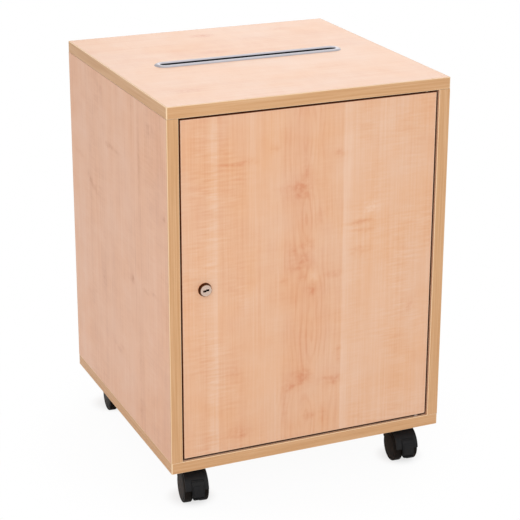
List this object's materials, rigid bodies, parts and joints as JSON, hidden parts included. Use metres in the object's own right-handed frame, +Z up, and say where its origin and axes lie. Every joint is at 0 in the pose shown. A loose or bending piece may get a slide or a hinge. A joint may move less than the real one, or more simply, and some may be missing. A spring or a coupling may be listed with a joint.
{
  "type": "secure shredding console",
  "caption": "Lockable board cabinet on castors with a metal-lined paper slot in the top, a front door on pivots and a collection sack hung inside.",
  "frame": {"origin": "on the floor, under the middle of the cabinet", "axes": "+X right as seen from the front, +Y to the back, +Z up; the door faces -Y"},
  "size_m": [0.45, 0.4525, 0.6326],
  "materials": {
    "melamine_board": "maple-pattern melamine face, satin",
    "edging_strip": "honey plastic edging, satin",
    "trim_metal": "satin silver",
    "lock_nickel": "nickel plate",
    "beech_dowel": "plain beech",
    "sack_cloth": "plain woven",
    "brass": "turned",
    "castor_wheel": "black, satin",
    "castor_nylon": "black moulded nylon",
    "zinc_plate": "bright zinc plate",
    "steel": "bright steel"
  },
  "bodies": {
    "cabinet": {"top_panel": "melamine_board", "top_edging": "edging_strip", "base_panel": "melamine_board", "base_edging": "edging_strip", "side_panel_left": "melamine_board", "side_panel_right": "melamine_board", "side_edging_left": "edging_strip", "side_edging_right": "edging_strip", "back_panel": "melamine_board", "cam_fittings": "zinc_plate", "dowels": "beech_dowel", "slot_trim": "trim_metal", "pivot_pin_lower": "steel", "pivot_bush_upper": "brass", "strike_bracket": "zinc_plate", "fixing_screws": "steel", "door_stops": "castor_nylon", "sack": "sack_cloth", "sack_eyelets": "zinc_plate", "sack_hooks": "zinc_plate", "castor_screws": "steel", "castor_plate_front_left": "zinc_plate", "castor_plate_front_right": "zinc_plate", "castor_plate_back_left": "zinc_plate", "castor_plate_back_right": "zinc_plate"},
    "door": {"door_panel": "melamine_board", "door_edging": "edging_strip", "pivot_bush_lower": "brass", "pivot_sleeve": "brass", "lock_barrel": "lock_nickel", "lock_nut": "zinc_plate"},
    "lock": {"lock_plug": "lock_nickel", "lock_cam": "zinc_plate", "lock_cam_screw": "steel"},
    "pivot_pin": {"pivot_pin_upper": "steel", "pivot_thumb_screw": "steel"},
    "castor_front_left": {"castor_hood_front_left": "castor_nylon", "axle_front_left": "steel"},
    "wheel_front_left_a": {"wheel_front_left_a": "castor_wheel"},
    "wheel_front_left_b": {"wheel_front_left_b": "castor_wheel"},
    "brake_left": {"brake_pedal_left": "castor_nylon"},
    "castor_front_right": {"castor_hood_front_right": "castor_nylon", "axle_front_right": "steel"},
    "wheel_front_right_a": {"wheel_front_right_a": "castor_wheel"},
    "wheel_front_right_b": {"wheel_front_right_b": "castor_wheel"},
    "brake_right": {"brake_pedal_right": "castor_nylon"},
    "castor_back_left": {"castor_hood_back_left": "castor_nylon", "axle_back_left": "steel"},
    "wheel_back_left_a": {"wheel_back_left_a": "castor_wheel"},
    "wheel_back_left_b": {"wheel_back_left_b": "castor_wheel"},
    "castor_back_right": {"castor_hood_back_right": "castor_nylon", "axle_back_right": "steel"},
    "wheel_back_right_a": {"wheel_back_right_a": "castor_wheel"},
    "wheel_back_right_b": {"wheel_back_right_b": "castor_wheel"}
  },
  "joints": [
    {"name": "door_swing", "type": "hinge", "parent": "cabinet", "child": "door", "pos_m": [0.1905, -0.215, 0.347], "axis": [0, 0, 1], "range_deg": [0, 110]},
    {"name": "lock_turn", "type": "hinge", "parent": "door", "child": "lock", "pos_m": [-0.1685, -0.2, 0.351], "axis": [0, 1, 0], "range_deg": [0, 90]},
    {"name": "pivot_pin_drop", "type": "slide", "parent": "door", "child": "pivot_pin", "axis": [0, 0, -1], "range_m": [0, 0.01]},
    {"name": "castor_front_left_swivel", "type": "hinge", "parent": "cabinet", "child": "castor_front_left", "pos_m": [-0.178, -0.178, 0.05], "axis": [0, 0, 1], "continuous": true},
    {"name": "wheel_front_left_a_spin", "type": "hinge", "parent": "castor_front_left", "child": "wheel_front_left_a", "pos_m": [-0.18019, -0.19587, 0.025], "axis": [0.9925, -0.1219, 0], "continuous": true},
    {"name": "wheel_front_left_b_spin", "type": "hinge", "parent": "castor_front_left", "child": "wheel_front_left_b", "pos_m": [-0.18019, -0.19587, 0.025], "axis": [0.9925, -0.1219, 0], "continuous": true},
    {"name": "brake_left_lift", "type": "hinge", "parent": "castor_front_left", "child": "brake_left", "pos_m": [-0.18282, -0.21722, 0.04181], "axis": [-0.9925, 0.1219, 0], "range_deg": [0, 20]},
    {"name": "castor_front_right_swivel", "type": "hinge", "parent": "cabinet", "child": "castor_front_right", "pos_m": [0.178, -0.178, 0.05], "axis": [0, 0, 1], "continuous": true},
    {"name": "wheel_front_right_a_spin", "type": "hinge", "parent": "castor_front_right", "child": "wheel_front_right_a", "pos_m": [0.17643, -0.19593, 0.025], "axis": [0.9962, -0.0872, 0], "continuous": true},
    {"name": "wheel_front_right_b_spin", "type": "hinge", "parent": "castor_front_right", "child": "wheel_front_right_b", "pos_m": [0.17643, -0.19593, 0.025], "axis": [0.9962, -0.0872, 0], "continuous": true},
    {"name": "brake_right_lift", "type": "hinge", "parent": "castor_front_right", "child": "brake_right", "pos_m": [0.17456, -0.21736, 0.04181], "axis": [-0.9962, 0.0872, 0], "range_deg": [0, 20]},
    {"name": "castor_back_left_swivel", "type": "hinge", "parent": "cabinet", "child": "castor_back_left", "pos_m": [-0.178, 0.178, 0.05], "axis": [0, 0, 1], "continuous": true},
    {"name": "wheel_back_left_a_spin", "type": "hinge", "parent": "castor_back_left", "child": "wheel_back_left_a", "pos_m": [-0.17926, 0.16004, 0.025], "axis": [0.9976, -0.0698, 0], "continuous": true},
    {"name": "wheel_back_left_b_spin", "type": "hinge", "parent": "castor_back_left", "child": "wheel_back_left_b", "pos_m": [-0.17926, 0.16004, 0.025], "axis": [0.9976, -0.0698, 0], "continuous": true},
    {"name": "castor_back_right_swivel", "type": "hinge", "parent": "cabinet", "child": "castor_back_right", "pos_m": [0.178, 0.178, 0.05], "axis": [0, 0, 1], "continuous": true},
    {"name": "wheel_back_right_a_spin", "type": "hinge", "parent": "castor_back_right", "child": "wheel_back_right_a", "pos_m": [0.17674, 0.16004, 0.025], "axis": [0.9976, -0.0698, 0], "continuous": true},
    {"name": "wheel_back_right_b_spin", "type": "hinge", "parent": "castor_back_right", "child": "wheel_back_right_b", "pos_m": [0.17674, 0.16004, 0.025], "axis": [0.9976, -0.0698, 0], "continuous": true}
  ]
}
